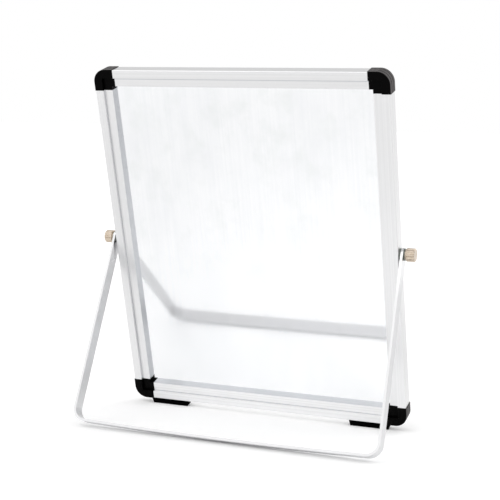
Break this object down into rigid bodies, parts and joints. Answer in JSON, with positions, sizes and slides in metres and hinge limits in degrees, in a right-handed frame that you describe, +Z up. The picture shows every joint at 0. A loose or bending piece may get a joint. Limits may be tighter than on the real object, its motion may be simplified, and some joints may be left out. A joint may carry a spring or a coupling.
{
  "type": "desk whiteboard",
  "caption": "Framed desk whiteboard propped by a swinging flat-bar bow; thumb knobs clamp the pivots, caps close the frame corners and rubber feet carry its lower edge.",
  "frame": {"origin": "on the table, under the middle of the object's box", "axes": "+Z up; -Y towards the stand, which the picture shows; +Y towards the white writing side; X along the pivot axis"},
  "size_m": [0.2786, 0.1188, 0.3009],
  "materials": {
    "satin_aluminium": "satin anodised extrusion",
    "black_plastic": "black moulded plastic, slight gloss",
    "bright_steel": "bright zinc-coated steel sheet with fine streaks",
    "fibreboard": "pressed fibreboard, hidden in the frame",
    "white_enamel": "glossy white writing surface on steel",
    "black_rubber": "matt black rubber",
    "silver_bar": "silver-white coated steel flat bar",
    "warm_nickel": "warm nickel-plated, fluted",
    "dark_steel": "black-oxide washer steel with a satin sheen",
    "zinc_steel": "zinc-plated fastener steel"
  },
  "bodies": {
    "board": {"rail_top": "satin_aluminium", "rail_bottom": "satin_aluminium", "rail_left": "satin_aluminium", "rail_right": "satin_aluminium", "corner_top_left": "black_plastic", "corner_top_right": "black_plastic", "corner_bottom_left": "black_plastic", "corner_bottom_right": "black_plastic", "back_sheet": "bright_steel", "core_board": "fibreboard", "writing_sheet": "white_enamel", "foot_left": "black_rubber", "foot_right": "black_rubber", "pivot_nut_left": "zinc_steel", "pivot_nut_right": "zinc_steel", "inner_washer_left": "dark_steel", "inner_washer_right": "dark_steel"},
    "stand": {"stand_bow": "silver_bar"},
    "clamp_left": {"outer_washer_left": "dark_steel"},
    "clamp_right": {"outer_washer_right": "dark_steel"},
    "thumb_left": {"pivot_stud_left": "zinc_steel", "knob_left": "warm_nickel"},
    "thumb_right": {"pivot_stud_right": "zinc_steel", "knob_right": "warm_nickel"}
  },
  "joints": [
    {"name": "stand_swing", "type": "hinge", "parent": "board", "child": "stand", "pos_m": [0, 0.01166, 0.15411], "axis": [1, 0, 0], "continuous": true},
    {"name": "knob_left_travel", "type": "slide", "parent": "board", "child": "clamp_left", "axis": [-1, 0, 0], "range_m": [0, 0.0008]},
    {"name": "knob_left_turn", "type": "hinge", "parent": "clamp_left", "child": "thumb_left", "pos_m": [0, 0.01166, 0.15411], "axis": [-1, 0, 0], "range_deg": [0, 360]},
    {"name": "knob_right_travel", "type": "slide", "parent": "board", "child": "clamp_right", "axis": [1, 0, 0], "range_m": [0, 0.0008]},
    {"name": "knob_right_turn", "type": "hinge", "parent": "clamp_right", "child": "thumb_right", "pos_m": [0, 0.01166, 0.15411], "axis": [1, 0, 0], "range_deg": [0, 360]}
  ],
  "couplings": [
    {"joint": "knob_left_travel", "follows": "knob_left_turn", "m_per_rad": 0.00012732},
    {"joint": "knob_right_travel", "follows": "knob_right_turn", "m_per_rad": 0.00012732}
  ]
}
